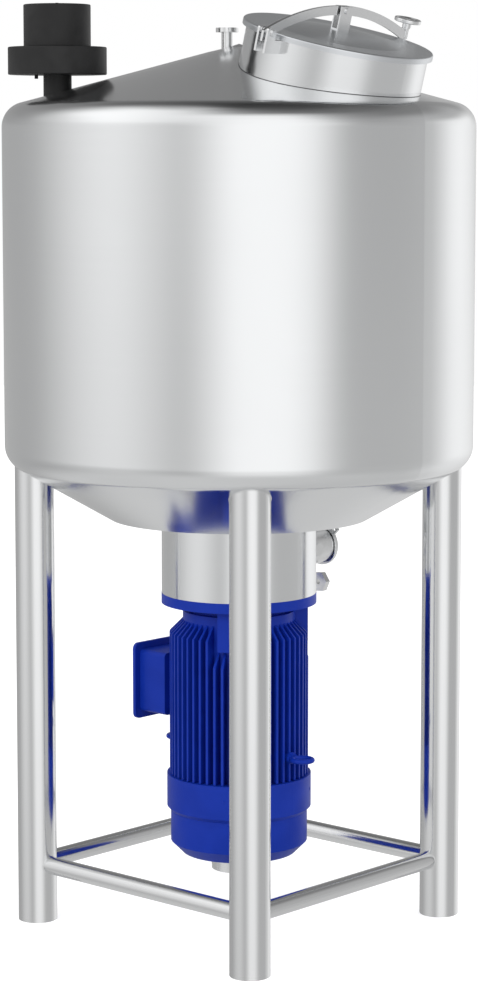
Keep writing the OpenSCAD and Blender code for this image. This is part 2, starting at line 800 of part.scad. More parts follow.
module valve_handle() {
    stem = grip_d / 3;
    color(bright) on_outlet() translate([0, 0, handle_at]) rotate([0, 0, -handle_turn]) difference() {
        union() {
            translate([0, handle_drop, 0]) cylinder(d = grip_d, h = handle_t, $fn = 6);
            translate([-grip_d / 2 - stem / 2, 0, 0]) cube([stem, handle_drop, handle_t]);
            translate([-grip_d / 2 - stem / 2, handle_drop - stem, 0]) cube([grip_d / 2, stem, handle_t]);
        }
        translate([0, handle_drop, -1]) cylinder(d = grip_bore, h = handle_t + 2);
        translate([0, 0, -1]) cylinder(d = valve_d, h = handle_t + 2);
    }
}

module shaft_seal() {
    color(bright) translate([0, 0, plate_z]) union() {
        ring(shaft_d + 2 * wall, shaft_d, bottom_plate_t);
        translate([0, 0, bottom_plate_t]) ring(3 * shaft_d, shaft_d, 12);
    }
}

module stirrer() {
    hub_z = plate_z + bottom_plate_t + 12;
    color(bright) union() {
        translate([0, 0, motor_top]) cylinder(d = shaft_d, h = hub_z - motor_top + 40);
        translate([0, 0, hub_z + 2]) cylinder(d = 2 * shaft_d, h = 50);
        for (a = [0 : 120 : 240])
            rotate([0, 0, a]) translate([shaft_d / 2, -4, hub_z + 5]) cube([stirrer_d / 2 - shaft_d / 2, 8, 40]);
    }
}

tank_shell();
roof_cone();
bottom_cone();
bottom_plate();
leg_front_left();
leg_front_right();
leg_back_left();
leg_back_right();
rail_front();
rail_back();
rail_left();
rail_right();
lantern_barrel();
motor_flange();
motor_frame();
end_shield();
fan_cowl();
fan();
cowl_stub();
terminal_box();
terminal_cover();
eyebolt_left();
eyebolt_right();
vent_stem();
vent_pan();
vent_cap();
cleaning_nozzle();
nozzle_cap();
manway_neck();
hinge_bracket();
hinge_pin();
clamp_cradle();
lid_gasket();
manway_lid();
lid_bracket();
bracket_pin();
lid_arm();
clamp_bolt();
clamp_washer();
hand_knob();
outlet_pipe();
outlet_valve();
valve_handle();
shaft_seal();
stirrer();
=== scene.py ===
# %% [markdown]
# # A mixing tank on four legs
# The tank is a round vessel of stainless steel on four tube legs. An electric motor hangs under it,
# a black vent filter sits on the roof, and a round manway with a clamped lid tilts beside the top.
# CAD gives every piece its shape and its place. This script gives it its finish, its light and the
# small work that CAD leaves out, such as screws and weld beads.
#
# The imported model is loaded first. Its pieces are the frame: they stay where they are, each with its
# placement baked into its mesh.

# %% Load the imported model
import math

import bpy
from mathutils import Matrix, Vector


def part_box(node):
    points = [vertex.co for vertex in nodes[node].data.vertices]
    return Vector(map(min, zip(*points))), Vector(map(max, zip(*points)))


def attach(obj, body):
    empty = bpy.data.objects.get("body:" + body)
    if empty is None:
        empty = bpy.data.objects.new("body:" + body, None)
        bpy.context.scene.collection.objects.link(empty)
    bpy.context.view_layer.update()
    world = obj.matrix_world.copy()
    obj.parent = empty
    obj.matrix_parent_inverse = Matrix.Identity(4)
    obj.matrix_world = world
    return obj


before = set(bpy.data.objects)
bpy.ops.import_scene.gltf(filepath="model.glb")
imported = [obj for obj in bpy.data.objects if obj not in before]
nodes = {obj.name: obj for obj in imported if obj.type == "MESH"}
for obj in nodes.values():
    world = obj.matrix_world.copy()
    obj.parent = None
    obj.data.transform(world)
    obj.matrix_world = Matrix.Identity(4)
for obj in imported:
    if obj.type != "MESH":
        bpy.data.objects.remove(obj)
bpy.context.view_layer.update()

# %% [markdown]
# ## The camera
# The picture was taken from a little under the height of the roof, in front of the right-hand corner
# leg, with a long lens that looks slightly down. A lens is given in millimetres on a 36 mm sensor,
# and Blender lays the sensor's width along the long side of the picture, which here is its height.
# The tank stands a little low in the picture, which is a small vertical shift of the lens and not
# a turn of the camera.

# %% Place the camera
CAMERA_AT = Vector((4.1766, -4.6195, 1.7816))
CAMERA_PITCH = math.radians(-6.53)
LENS_MM = 101.18
LENS_SHIFT = -0.0353

away = Vector((-CAMERA_AT.x, -CAMERA_AT.y, 0.0)).normalized()
sight = Vector((away.x * math.cos(CAMERA_PITCH), away.y * math.cos(CAMERA_PITCH), math.sin(CAMERA_PITCH)))
camera_data = bpy.data.cameras.new("camera")
camera_data.sensor_width = 36.0
camera_data.lens = LENS_MM
camera_data.shift_y = LENS_SHIFT
camera_data.clip_end = 60.0
camera = bpy.data.objects.new("camera", camera_data)
camera.location = CAMERA_AT
camera.rotation_mode = "QUATERNION"
camera.rotation_quaternion = sight.to_track_quat("-Z", "Y")
bpy.context.scene.collection.objects.link(camera)
bpy.context.scene.camera = camera
bpy.context.scene.view_settings.view_transform = "Standard"
print("camera looks along", [round(v, 3) for v in sight])

# %% [markdown]
# ## The studio
# Steel has hardly any colour of its own: it shows the room. The room here is drawn in the world,
# as strips of brightness that run round it, each at its own height: what stands on the floor and at
# eye level, the big soft lamps above, the upper walls and the ceiling. A polished cylinder shows a
# strip from end to end, squeezed together at its edges, which gives the vessel its white and grey
# bands. The lid and the rounded edge of the roof look up, so they show the higher strips.
#
# Only glossy and transmission rays see the strips. Camera rays see plain white, and diffuse rays
# see one even level, so paint and plastic come out about as their colours are written.

# %% Helpers that set up nodes
def new_node(tree, kind, **settings):
    """Adds a node of this kind to the tree and sets its properties."""
    node = tree.nodes.new(kind)
    for name, value in settings.items():
        setattr(node, name, value)
    return node


def math_node(tree, operation, first, second=None, clamp=False):
    """Adds a Math node. Each input is a number or a socket."""
    node = new_node(tree, "ShaderNodeMath", operation=operation, use_clamp=clamp)
    for place, value in enumerate((first, second)):
        if value is None:
            continue
        if isinstance(value, (int, float)):
            node.inputs[place].default_value = value
        else:
            tree.links.new(value, node.inputs[place])
    return node.outputs[0]


def to_linear(tone):
    """The light level that a screen shows as this tone, from 0 to 255."""
    share = tone / 255.0
    return share / 12.92 if share <= 0.04045 else ((share + 0.055) / 1.055) ** 2.4


# %% Draw the room round the tank
# Each strip has a height over the horizon in degrees. Each of its stops is an angle round the tank,
# in degrees to the right of the camera, and the tone that polished steel shows there.
ROOM = [
    (-45.0, [(-180, 196), (-120, 192), (-60, 196), (30, 194), (90, 184), (140, 184), (180, 194)]),
    (-22.0, [
        (-180, 164), (-134, 160), (-115, 162), (-100, 172), (-84, 186), (-65, 196), (-50, 190),
        (-36, 178), (-27, 172), (-18, 186), (-8, 212), (0, 226), (24, 226), (36, 210), (45, 188),
        (54, 176), (70, 176), (98, 176), (110, 194), (124, 220), (140, 222), (160, 206), (180, 180),
    ]),
    (-6.0, [
        (-180, 168), (-134, 162), (-115, 166), (-100, 186), (-84, 208), (-65, 222), (-50, 214),
        (-36, 196), (-27, 186), (-18, 204), (-8, 232), (0, 246), (24, 248), (36, 228), (45, 198),
        (54, 174), (70, 175), (98, 175), (110, 198), (124, 238), (140, 238), (160, 214), (180, 184),
    ]),
    (0.0, [
        (-180, 156), (-134, 162), (-115, 170), (-100, 194), (-84, 217), (-65, 234), (-50, 224),
        (-36, 206), (-27, 194), (-18, 210), (-8, 238), (0, 248), (24, 248), (36, 234), (45, 204),
        (54, 168), (70, 167), (98, 167), (110, 196), (124, 240), (140, 240), (160, 206), (180, 176),
    ]),
    (8.0, [
        (-180, 140), (-158, 144), (-134, 152), (-118, 164), (-100, 194), (-84, 220), (-65, 240),
        (-50, 226), (-36, 208), (-26, 200), (-14, 226), (0, 246), (26, 248), (38, 234), (48, 202),
        (58, 164), (72, 162), (98, 166), (110, 196), (126, 238), (148, 236), (158, 200), (180, 150),
    ]),
    (20.0, [
        (-180, 130), (-152, 134), (-128, 144), (-114, 188), (-100, 204), (-84, 240), (-70, 255),
        (-50, 244), (-30, 214), (-14, 226), (0, 246), (26, 248), (40, 222), (52, 172), (66, 148),
        (85, 156), (110, 174), (130, 166), (148, 172), (158, 142), (180, 122),
    ]),
    (40.0, [
        (-180, 112), (-160, 112), (-142, 118), (-126, 140), (-108, 214), (-94, 255), (-72, 255),
        (-50, 240), (-30, 222), (0, 240), (26, 240), (42, 190), (58, 144), (76, 126), (96, 116),
        (120, 120), (140, 122), (165, 112), (180, 110),
    ]),
    (57.0, [
        (-180, 78), (-160, 82), (-140, 98), (-122, 164), (-106, 220), (-84, 250), (-60, 240),
        (-37, 220), (-18, 184), (0, 140), (20, 116), (37, 104), (60, 98), (93, 102), (120, 90),
        (145, 80), (180, 78),
    ]),
    (74.0, [
        (-180, 38), (-141, 80), (-105, 150), (-67, 178), (-47, 192), (-25, 146), (0, 102), (30, 82),
        (67, 68), (105, 60), (141, 50), (180, 38),
    ]),
    (88.0, [(-180, 56), (180, 56)]),
]
STEEL_SHINE = 0.8


def angle_strip(tree, angle, stops):
    """A colour ramp over the full circle, from a list of angle and tone."""
    share = new_node(tree, "ShaderNodeMapRange")
    share.inputs["From Min"].default_value = -math.pi
    share.inputs["From Max"].default_value = math.pi
    tree.links.new(angle, share.inputs["Value"])
    ramp = new_node(tree, "ShaderNodeValToRGB")
    ramp.color_ramp.interpolation = "B_SPLINE"
    while len(ramp.color_ramp.elements) < len(stops):
        ramp.color_ramp.elements.new(0.5)
    for element, (degrees, tone) in zip(ramp.color_ramp.elements, stops):
        element.position = (degrees + 180.0) / 360.0
        level = to_linear(tone)
        element.color = (level, level, level, 1.0)
    tree.links.new(share.outputs["Result"], ramp.inputs["Fac"])
    return ramp.outputs["Color"]


def blend_by_height(tree, height, low, high, below, above):
    """Goes from one colour to the other as the height angle goes from low to high, in degrees."""
    share = new_node(tree, "ShaderNodeMapRange", interpolation_type="SMOOTHSTEP")
    share.inputs["From Min"].default_value = math.radians(low)
    share.inputs["From Max"].default_value = math.radians(high)
    tree.links.new(height, share.inputs["Value"])
    mix = new_node(tree, "ShaderNodeMixRGB")
    tree.links.new(share.outputs["Result"], mix.inputs["Fac"])
    tree.links.new(below, mix.inputs["Color1"])
    tree.links.new(above, mix.inputs["Color2"])
    return mix.outputs["Color"]


world = bpy.data.worlds.new("studio")
bpy.context.scene.world = world
world.use_nodes = True
room = world.node_tree
room.nodes.clear()
direction = new_node(room, "ShaderNodeTexCoord").outputs["Generated"]


def along(tree, vector, axis):
    """How far a vector reaches along an axis."""
    node = new_node(tree, "ShaderNodeVectorMath", operation="DOT_PRODUCT")
    tree.links.new(vector, node.inputs[0])
    node.inputs[1].default_value = axis
    return node.outputs["Value"]


to_camera = -away
to_right = Vector((-away.y, away.x, 0.0)) * -1.0
right_reach = along(room, direction, to_right)
front_reach = along(room, direction, to_camera)
angle = math_node(room, "ARCTAN2", right_reach, front_reach)
height = math_node(room, "ARCSINE", along(room, direction, Vector((0.0, 0.0, 1.0))))
walls = None
for step, (degrees, stops) in enumerate(ROOM):
    strip = angle_strip(room, angle, stops)
    if walls is None:
        walls = strip
    else:
        walls = blend_by_height(room, height, ROOM[step - 1][0], degrees, walls, strip)

DAYLIGHT = 0.86
light_path = new_node(room, "ShaderNodeLightPath")
sees_room = math_node(
    room, "MAXIMUM", light_path.outputs["Is Glossy Ray"], light_path.outputs["Is Transmission Ray"]
)
plain = new_node(room, "ShaderNodeBackground")
plain.inputs["Color"].default_value = (DAYLIGHT, DAYLIGHT, DAYLIGHT, 1.0)
white = new_node(room, "ShaderNodeBackground")
mirrored = new_node(room, "ShaderNodeBackground")
white.inputs["Color"].default_value = (1.0, 1.0, 1.0, 1.0)
mirrored.inputs["Strength"].default_value = 1.0 / STEEL_SHINE
room.links.new(walls, mirrored.inputs["Color"])
seen = new_node(room, "ShaderNodeMixShader")
room.links.new(sees_room, seen.inputs["Fac"])
room.links.new(plain.outputs["Background"], seen.inputs[1])
room.links.new(mirrored.outputs["Background"], seen.inputs[2])
backdrop = new_node(room, "ShaderNodeMixShader")
room.links.new(light_path.outputs["Is Camera Ray"], backdrop.inputs["Fac"])
room.links.new(seen.outputs["Shader"], backdrop.inputs[1])
room.links.new(white.outputs["Background"], backdrop.inputs[2])
output = new_node(room, "ShaderNodeOutputWorld")
room.links.new(backdrop.outputs["Shader"], output.inputs["Surface"])
print("room strips at heights", [degrees for degrees, stops in ROOM])

# %% [markdown]
# ## The floor and the lamps
# The floor is a pale disc. It takes the soft shadow of the tank, and a little light that only
# the camera sees lifts the rest of it to the white of the backdrop. A reflection looks through it
# to the room below, so the bands of the room run on down the legs to their feet. The lamps are
# large and soft, and they stay out of the reflections, because the room already holds the lamps
# that steel shows.

# %% Lay the floor
FLOOR_RADIUS = 14.0
FLOOR_RIM = 96
FLOOR_PALE = 0.66
FLOOR_LIFT = 0.68

floor_mesh = bpy.data.meshes.new("floor")
rim = [
    (FLOOR_RADIUS * math.cos(math.tau * i / FLOOR_RIM), FLOOR_RADIUS * math.sin(math.tau * i / FLOOR_RIM), 0.0)
    for i in range(FLOOR_RIM)
]
floor_mesh.from_pydata(rim, [], [list(range(FLOOR_RIM))])
floor = bpy.data.objects.new("floor", floor_mesh)
bpy.context.scene.collection.objects.link(floor)

floor_finish = bpy.data.materials.new("pale_floor")
floor_finish.use_nodes = True
tree = floor_finish.node_tree
tree.nodes.clear()
path = new_node(tree, "ShaderNodeLightPath")
matt = new_node(tree, "ShaderNodeBsdfDiffuse")
matt.inputs["Color"].default_value = (FLOOR_PALE, FLOOR_PALE, FLOOR_PALE, 1.0)
glow = new_node(tree, "ShaderNodeEmission")
for_camera = math_node(tree, "MULTIPLY", path.outputs["Is Camera Ray"], FLOOR_LIFT)
tree.links.new(for_camera, glow.inputs["Strength"])
both = new_node(tree, "ShaderNodeAddShader")
tree.links.new(matt.outputs["BSDF"], both.inputs[0])
tree.links.new(glow.outputs["Emission"], both.inputs[1])
for_mirrors = math_node(tree, "MAXIMUM", path.outputs["Is Glossy Ray"], path.outputs["Is Transmission Ray"])
clear = new_node(tree, "ShaderNodeBsdfTransparent")
shown = new_node(tree, "ShaderNodeMixShader")
tree.links.new(for_mirrors, shown.inputs["Fac"])
tree.links.new(both.outputs["Shader"], shown.inputs[1])
tree.links.new(clear.outputs["BSDF"], shown.inputs[2])
surface = new_node(tree, "ShaderNodeOutputMaterial")
tree.links.new(shown.outputs["Shader"], surface.inputs["Surface"])
floor_mesh.materials.append(floor_finish)
print("floor radius", FLOOR_RADIUS)


# %% Hang the soft lamps
def soft_lamp(name, place, size, watts):
    """A square area lamp that points at the middle of the tank and leaves no mirror image."""
    data = bpy.data.lights.new(name, "AREA")
    data.size = size
    data.energy = watts
    lamp = bpy.data.objects.new(name, data)
    lamp.location = place
    lamp.rotation_mode = "QUATERNION"
    lamp.rotation_quaternion = (Vector((0.0, 0.0, 1.0)) - Vector(place)).to_track_quat("-Z", "Y")
    lamp.visible_glossy = False
    lamp.visible_camera = False
    bpy.context.scene.collection.objects.link(lamp)
    return lamp


lamps = [
    soft_lamp("key_lamp", (0.5, -4.5, 3.6), 2.4, 60.0),
    soft_lamp("fill_lamp", (4.5, 1.5, 3.0), 2.4, 25.0),
]
print("lamps:", [lamp.name for lamp in lamps])

# %% [markdown]
# ## Finishes
# Every finish starts from the same Principled shader. Two effects are shared, so they are node
# groups: the grain that rolling, grinding or drawing leaves in steel, and the slow smudges that
# hands and cleaning leave on anything. A group only puts out a value between 0 and 1, and each
# finish decides what that value does.

# %% The grain group
def group_tree(name, inputs, outputs):
    """An empty shader group with these input and output sockets."""
    made = bpy.data.node_groups.new(name, "ShaderNodeTree")
    for socket_name, kind, value in inputs:
        socket = made.interface.new_socket(socket_name, in_out="INPUT", socket_type=kind)
        if value is not None:
            socket.default_value = value
    for socket_name, kind in outputs:
        made.interface.new_socket(socket_name, in_out="OUTPUT", socket_type=kind)
    return made, made.nodes.new("NodeGroupInput"), made.nodes.new("NodeGroupOutput")


grain_group, grain_in, grain_out = group_tree(
    "metal_grain",
    [("Vector", "NodeSocketVector", None), ("Lines Per Metre", "NodeSocketVector", (1.0, 1.0, 1.0)),
     ("Detail", "NodeSocketFloat", 3.0)],
    [("Grain", "NodeSocketFloat")],
)
stretched = new_node(grain_group, "ShaderNodeVectorMath", operation="MULTIPLY")
grain_group.links.new(grain_in.outputs["Vector"], stretched.inputs[0])
grain_group.links.new(grain_in.outputs["Lines Per Metre"], stretched.inputs[1])
lines = new_node(grain_group, "ShaderNodeTexNoise")
lines.inputs["Scale"].default_value = 1.0
grain_group.links.new(stretched.outputs["Vector"], lines.inputs["Vector"])
grain_group.links.new(grain_in.outputs["Detail"], lines.inputs["Detail"])
grain_group.links.new(lines.outputs["Fac"], grain_out.inputs["Grain"])
print("group:", grain_group.name)

# %% The smudge group
smudge_group, smudge_in, smudge_out = group_tree(
    "soft_smudges",
    [("Vector", "NodeSocketVector", None), ("Patches Per Metre", "NodeSocketFloat", 5.0)],
    [("Smudge", "NodeSocketFloat")],
)
cloud = new_node(smudge_group, "ShaderNodeTexNoise")
cloud.inputs["Detail"].default_value = 2.0
cloud.inputs["Distortion"].default_value = 0.6
smudge_group.links.new(smudge_in.outputs["Vector"], cloud.inputs["Vector"])
smudge_group.links.new(smudge_in.outputs["Patches Per Metre"], cloud.inputs["Scale"])
softer = new_node(smudge_group, "ShaderNodeMapRange", interpolation_type="SMOOTHSTEP")
softer.inputs["From Min"].default_value = 0.35
softer.inputs["From Max"].default_value = 0.65
smudge_group.links.new(cloud.outputs["Fac"], softer.inputs["Value"])
smudge_group.links.new(softer.outputs["Result"], smudge_out.inputs["Smudge"])
print("group:", smudge_group.name)


# %% [markdown]
# A steel finish is a metal whose base colour is close to white. What makes it satin rather than
# mirror is its roughness, and what makes it sheet, tube or casting is the way its grain runs:
# round the vessel, along a tube, or no way at all on a small fitting.

# %% Steel finishes
def place_group(tree, group, **values):
    """Puts a shader group in a material, on the piece's own coordinates."""
    node = tree.nodes.new("ShaderNodeGroup")
    node.node_tree = group
    for name, value in values.items():
        node.inputs[name.replace("_", " ")].default_value = value
    coordinates = new_node(tree, "ShaderNodeTexCoord")
    tree.links.new(coordinates.outputs["Object"], node.inputs["Vector"])
    return node


def spread(tree, value, low, high):
    """Stretches a value that runs from 0 to 1 over the range from low to high."""
    node = new_node(tree, "ShaderNodeMapRange")
    node.inputs["To Min"].default_value = low
    node.inputs["To Max"].default_value = high
    tree.links.new(value, node.inputs["Value"])
    return node.outputs["Result"]


def shade_between(tree, share, dark, light):
    """Mixes two colours by a value that runs from 0 to 1."""
    mix = new_node(tree, "ShaderNodeMixRGB")
    tree.links.new(share, mix.inputs["Fac"])
    mix.inputs["Color1"].default_value = (*dark, 1.0)
    mix.inputs["Color2"].default_value = (*light, 1.0)
    return mix.outputs["Color"]


def raise_surface(tree, shader, value, depth):
    """Lets a value lift the surface by up to this depth in metres."""
    bump = new_node(tree, "ShaderNodeBump")
    bump.inputs["Strength"].default_value = 1.0
    bump.inputs["Distance"].default_value = depth
    tree.links.new(value, bump.inputs["Height"])
    tree.links.new(bump.outputs["Normal"], shader.inputs["Normal"])


def steel(name, grain_lines, rough_low, rough_high, dark, light, grain_depth, edge=1.0):
    """Satin stainless steel. The grain shades it, smudges change how sharply it mirrors, and edge is
    how much of the light it gives back where it is seen at a slant."""
    finish = bpy.data.materials.new(name)
    finish.use_nodes = True
    tree = finish.node_tree
    shader = tree.nodes["Principled BSDF"]
    shader.inputs["Metallic"].default_value = 1.0
    shader.inputs["Specular Tint"].default_value = (edge, edge, edge, 1.0)
    grain = place_group(tree, grain_group, Lines_Per_Metre=grain_lines, Detail=4.0).outputs["Grain"]
    smudge = place_group(tree, smudge_group, Patches_Per_Metre=4.0).outputs["Smudge"]
    tree.links.new(shade_between(tree, grain, dark, light), shader.inputs["Base Color"])
    tree.links.new(spread(tree, smudge, rough_low, rough_high), shader.inputs["Roughness"])
    raise_surface(tree, shader, grain, grain_depth)
    return finish


finishes = {
    "vessel_steel": steel(
        "vessel_steel", (3.0, 3.0, 260.0), 0.15, 0.18, (0.785, 0.795, 0.802), (0.805, 0.815, 0.822), 0.000004
    ),
    "lid_steel": steel(
        "lid_steel", (40.0, 40.0, 40.0), 0.29, 0.34, (0.71, 0.73, 0.75), (0.73, 0.75, 0.77), 0.000004, 0.9
    ),
    "tube_steel": steel(
        "tube_steel", (220.0, 220.0, 3.0), 0.15, 0.18, (0.745, 0.75, 0.755), (0.765, 0.77, 0.775), 0.000004
    ),
    "fittings_steel": steel(
        "fittings_steel", (120.0, 120.0, 120.0), 0.2, 0.26, (0.8, 0.805, 0.81), (0.84, 0.845, 0.85), 0.000005
    ),
}
print("steel finishes:", sorted(finishes))

# %% [markdown]
# The motor is cast and pressed metal under blue enamel. Thick enamel has a faint orange-peel skin,
# and its gloss is a clear coat over a duller colour.

# %% Blue enamel
enamel = bpy.data.materials.new("motor_enamel")
enamel.use_nodes = True
tree = enamel.node_tree
shader = tree.nodes["Principled BSDF"]
shader.inputs["Specular IOR Level"].default_value = 0.16
shader.inputs["Coat Weight"].default_value = 0.03
shader.inputs["Coat Roughness"].default_value = 0.25
peel = place_group(tree, grain_group, Lines_Per_Metre=(260.0, 260.0, 260.0), Detail=2.0).outputs["Grain"]
smudge = place_group(tree, smudge_group, Patches_Per_Metre=9.0).outputs["Smudge"]
tree.links.new(shade_between(tree, smudge, (0.006, 0.035, 0.4), (0.0076, 0.04, 0.44)), shader.inputs["Base Color"])
tree.links.new(spread(tree, peel, 0.38, 0.5), shader.inputs["Roughness"])
raise_surface(tree, shader, peel, 0.0002)
finishes["motor_enamel"] = enamel
print("finish:", enamel.name)

# %% [markdown]
# The vent filter is moulded black plastic with a fine matt skin, and the lid's seal is white
# silicone rubber.

# %% Black plastic and white rubber
plastic = bpy.data.materials.new("vent_black")
plastic.use_nodes = True
tree = plastic.node_tree
shader = tree.nodes["Principled BSDF"]
shader.inputs["Specular IOR Level"].default_value = 0.34
fine = place_group(tree, grain_group, Lines_Per_Metre=(900.0, 900.0, 900.0), Detail=3.0).outputs["Grain"]
smudge = place_group(tree, smudge_group, Patches_Per_Metre=12.0).outputs["Smudge"]
tree.links.new(shade_between(tree, smudge, (0.012, 0.012, 0.0125), (0.019, 0.019, 0.0195)), shader.inputs["Base Color"])
tree.links.new(spread(tree, fine, 0.42, 0.58), shader.inputs["Roughness"])
raise_surface(tree, shader, fine, 0.00015)
finishes["vent_black"] = plastic

rubber = bpy.data.materials.new("gasket_white")
rubber.use_nodes = True
tree = rubber.node_tree
shader = tree.nodes["Principled BSDF"]
fine = place_group(tree, grain_group, Lines_Per_Metre=(500.0, 500.0, 500.0), Detail=2.0).outputs["Grain"]
tree.links.new(shade_between(tree, fine, (0.7, 0.7, 0.68), (0.8, 0.8, 0.78)), shader.inputs["Base Color"])
tree.links.new(spread(tree, fine, 0.45, 0.6), shader.inputs["Roughness"])
raise_surface(tree, shader, fine, 0.0001)
finishes["gasket_white"] = rubber
print("finishes:", len(finishes))

# %% Put the finishes on the CAD pieces
for name, piece in nodes.items():
    slot_name = piece.material_slots[0].material.name
    piece.material_slots[0].material = finishes[slot_name.split(".")[0]]
print("finished pieces:", len(nodes))

# %% [markdown]
# ## Weld seams
# The legs, the rails and the manway's neck are welded on, and a weld shows as a thin bead where two
# surfaces meet. Such a bead follows a curve that can be worked out point by point: each point lies
# on the tube and on the vessel at once. The curve is drawn as a closed line of edges, and Geometry
# Nodes gives it a round section, so the bead's thickness stays a number that can be changed.

# %% A tree that makes a bead along a path
def shape_tree(name, sockets):
    """An empty Geometry Nodes tree with these inputs, its two end nodes and its input identifiers."""
    made = bpy.data.node_groups.new(name, "GeometryNodeTree")
    made.interface.new_socket("Geometry", in_out="INPUT", socket_type="NodeSocketGeometry")
    made.interface.new_socket("Geometry", in_out="OUTPUT", socket_type="NodeSocketGeometry")
    keys = {}
    for socket_name, kind in sockets:
        keys[socket_name] = made.interface.new_socket(socket_name, in_out="INPUT", socket_type=kind).identifier
    return made, made.nodes.new("NodeGroupInput"), made.nodes.new("NodeGroupOutput"), keys


def close_tree(tree, geometry, finish, end):
    """Ends a tree in real geometry with one finish."""
    real = new_node(tree, "GeometryNodeRealizeInstances")
    dress = new_node(tree, "GeometryNodeSetMaterial")
    tree.links.new(geometry, real.inputs["Geometry"])
    tree.links.new(real.outputs["Geometry"], dress.inputs["Geometry"])
    tree.links.new(finish, dress.inputs["Material"])
    tree.links.new(dress.outputs["Geometry"], end.inputs["Geometry"])


bead_tree, begin, end, BEAD_KEYS = shape_tree(
    "bead_along_path",
    [("Bead Radius", "NodeSocketFloat"), ("Sides", "NodeSocketInt"), ("Finish", "NodeSocketMaterial")],
)
path_curve = new_node(bead_tree, "GeometryNodeMeshToCurve")
section = new_node(bead_tree, "GeometryNodeCurvePrimitiveCircle")
swept = new_node(bead_tree, "GeometryNodeCurveToMesh")
smooth = new_node(bead_tree, "GeometryNodeSetShadeSmooth")
bead_tree.links.new(begin.outputs["Geometry"], path_curve.inputs["Mesh"])
bead_tree.links.new(begin.outputs["Sides"], section.inputs["Resolution"])
bead_tree.links.new(begin.outputs["Bead Radius"], section.inputs["Radius"])
bead_tree.links.new(path_curve.outputs["Curve"], swept.inputs["Curve"])
bead_tree.links.new(section.outputs["Curve"], swept.inputs["Profile Curve"])
bead_tree.links.new(swept.outputs["Mesh"], smooth.inputs["Geometry"])
close_tree(bead_tree, smooth.outputs["Geometry"], begin.outputs["Finish"], end)
print("tree:", bead_tree.name, sorted(BEAD_KEYS))


# %% Turn a tree's result into a plain piece
def grow(name, start_mesh, tree, keys, body, **values):
    """Runs a tree on a mesh and keeps what it makes as a piece that rides on this body."""
    holder = bpy.data.objects.new(name + "_start", start_mesh)
    bpy.context.scene.collection.objects.link(holder)
    shaping = holder.modifiers.new("shape", "NODES")
    shaping.node_group = tree
    for key, value in values.items():
        shaping[keys[key.replace("_", " ")]] = value
    graph = bpy.context.evaluated_depsgraph_get()
    made = bpy.data.meshes.new_from_object(holder.evaluated_get(graph))
    bpy.data.objects.remove(holder)
    made.name = name
    piece = bpy.data.objects.new(name, made)
    bpy.context.scene.collection.objects.link(piece)
    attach(piece, body)
    print(name, "faces:", len(made.polygons))
    return piece


def closed_lines(name, loops):
    """A mesh of closed lines, one for each list of points."""
    points, edges = [], []
    for loop in loops:
        first = len(points)
        points.extend(loop)
        edges.extend((first + i, first + (i + 1) % len(loop)) for i in range(len(loop)))
    mesh = bpy.data.meshes.new(name)
    mesh.from_pydata(points, edges, [])
    return mesh


def circle_turns(count):
    """Even turns round a circle, in radians."""
    return [math.tau * i / count for i in range(count)]


# %% Weld the legs to the vessel
SHELL_FOOT = 1.1
EDGE_MIDDLE = 0.474
EDGE_RADIUS = 0.056
BOTTOM_SLOPE = math.radians(30.0)
LEG_BEAD = 0.0015
RAIL_BEAD = 0.0014
BEAD_SIDES = 10
LOOP_POINTS = 72


def vessel_foot(reach):
    """The height of the vessel's lower face at this distance from its axis."""
    if reach < EDGE_MIDDLE + EDGE_RADIUS * math.sin(BOTTOM_SLOPE):
        edge = EDGE_MIDDLE + EDGE_RADIUS * math.sin(BOTTOM_SLOPE)
        return SHELL_FOOT - EDGE_RADIUS * math.cos(BOTTOM_SLOPE) - (edge - reach) * math.tan(BOTTOM_SLOPE)
    return SHELL_FOOT - math.sqrt(EDGE_RADIUS ** 2 - (reach - EDGE_MIDDLE) ** 2)


def middle_of(node):
    """The middle of a node's box and half its sizes."""
    low, high = (Vector(corner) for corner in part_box(node))
    return (low + high) / 2.0, (high - low) / 2.0


leg_loops = []
for side in ("front_left", "front_right", "back_left", "back_right"):
    centre, half = middle_of("leg_" + side)
    loop = []
    for turn in circle_turns(LOOP_POINTS):
        x = centre.x + half.x * math.cos(turn)
        y = centre.y + half.x * math.sin(turn)
        loop.append((x, y, vessel_foot(math.hypot(x, y))))
    leg_loops.append(loop)
leg_radius = half.x
leg_reach = abs(centre.x)
grow(
    "leg_welds", closed_lines("leg_welds", leg_loops), bead_tree, BEAD_KEYS, "vessel",
    Bead_Radius=LEG_BEAD, Sides=BEAD_SIDES, Finish=finishes["tube_steel"],
)

# %% Weld the rails to the legs
rail_loops = []
rail_height = middle_of("rail_front")[0].z
rail_radius = middle_of("rail_front")[1].z
for quarter in range(4):
    turned = math.tau * quarter / 4.0
    for end_side in (-1.0, 1.0):
        loop = []
        for turn in circle_turns(LOOP_POINTS // 2):
            aside = rail_radius * math.cos(turn)
            along_rail = end_side * (leg_reach - math.sqrt(leg_radius ** 2 - aside ** 2))
            across = -leg_reach + aside
            loop.append((
                along_rail * math.cos(turned) - across * math.sin(turned),
                along_rail * math.sin(turned) + across * math.cos(turned),
                rail_height + rail_radius * math.sin(turn),
            ))
        rail_loops.append(loop)
grow(
    "rail_welds", closed_lines("rail_welds", rail_loops), bead_tree, BEAD_KEYS, "vessel",
    Bead_Radius=RAIL_BEAD, Sides=BEAD_SIDES, Finish=finishes["tube_steel"],
)

# %% [markdown]
# The neck of the manway leaves the roof at a slant, so its seam is an oval on a cone. The seam is a weld
# bead of the same steel, much darker: its dark line is painted shade for the gap where the neck meets the roof.

# %% Draw the seam round the manway's neck
ROOF_SLOPE = math.radians(15.0)
MANWAY_REACH = 0.268
MANWAY_FOOT = 1.924173
NECK_RADIUS = 0.2
SEAM_BEAD = 0.0011

